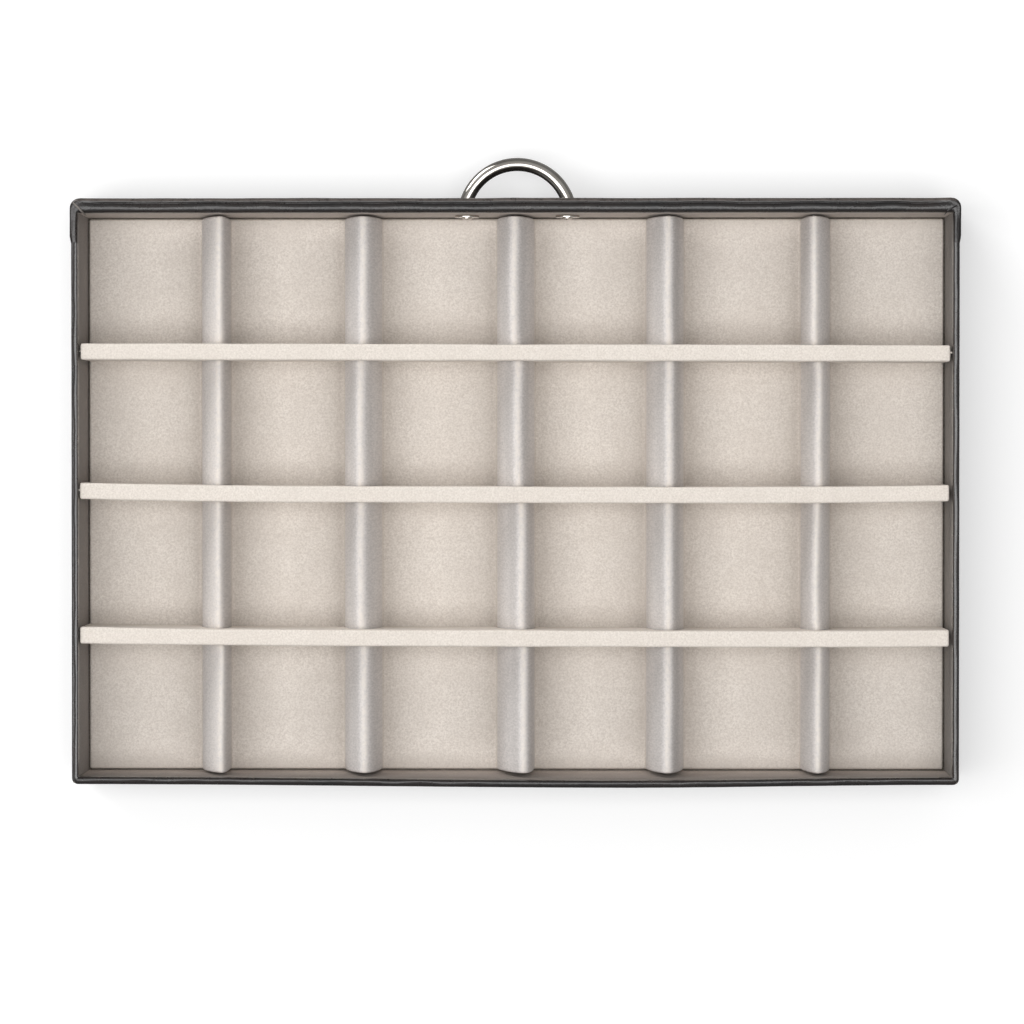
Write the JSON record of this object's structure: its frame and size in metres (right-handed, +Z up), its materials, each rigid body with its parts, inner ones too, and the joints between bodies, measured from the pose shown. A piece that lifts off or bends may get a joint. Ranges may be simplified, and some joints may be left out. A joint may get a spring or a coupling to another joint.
{
  "type": "compartment drawer",
  "caption": "Shallow leather-wrapped cufflink box drawer with a bow pull and a suede insert of rounded ridges and lift-out cross dividers.",
  "frame": {"origin": "centre of the flat underside of the drawer, halfway between the outer faces of the front and back leather", "axes": "+X to the right of someone facing the pull, +Y from the pull to the back, +Z up"},
  "size_m": [0.2808, 0.1984, 0.032],
  "materials": {
    "leather": "near-black smooth-grain leather with a soft gloss",
    "board": "dense grey-brown bookbinder's board",
    "foam": "thin foam wadding",
    "underside_sheet": "matt black leatherette sheet",
    "wall_lining": "taupe-grey microsuede",
    "suede": "pale greige microsuede with a short nap",
    "divider_suede": "pale greige microsuede with a short nap",
    "core_board": "shaped board core",
    "polished_nickel": "polished nickel plate"
  },
  "bodies": {
    "drawer": {"base_board": "board", "front_board": "board", "back_board": "board", "left_side_board": "board", "right_side_board": "board", "front_padding": "foam", "underside_cover": "underside_sheet", "front_leather": "leather", "left_side_leather": "leather", "right_side_leather": "leather", "back_leather": "leather", "front_lining": "wall_lining", "back_lining": "wall_lining", "left_lining": "wall_lining", "right_lining": "wall_lining", "insert_board": "board", "ridge_core_1": "core_board", "ridge_core_2": "core_board", "ridge_core_3": "core_board", "ridge_core_4": "core_board", "ridge_core_5": "core_board", "insert_suede": "suede", "pull_handle": "polished_nickel", "handle_washers": "polished_nickel", "handle_screws": "polished_nickel"},
    "front_divider": {"front_divider_core": "core_board", "front_divider_cover": "divider_suede"},
    "middle_divider": {"middle_divider_core": "core_board", "middle_divider_cover": "divider_suede"},
    "rear_divider": {"rear_divider_core": "core_board", "rear_divider_cover": "divider_suede"}
  },
  "joints": [
    {"name": "front_divider_lift", "type": "slide", "parent": "drawer", "child": "front_divider", "axis": [0, 0, 1], "range_m": [0, 0.035]},
    {"name": "middle_divider_lift", "type": "slide", "parent": "drawer", "child": "middle_divider", "axis": [0, 0, 1], "range_m": [0, 0.035]},
    {"name": "rear_divider_lift", "type": "slide", "parent": "drawer", "child": "rear_divider", "axis": [0, 0, 1], "range_m": [0, 0.035]}
  ]
}
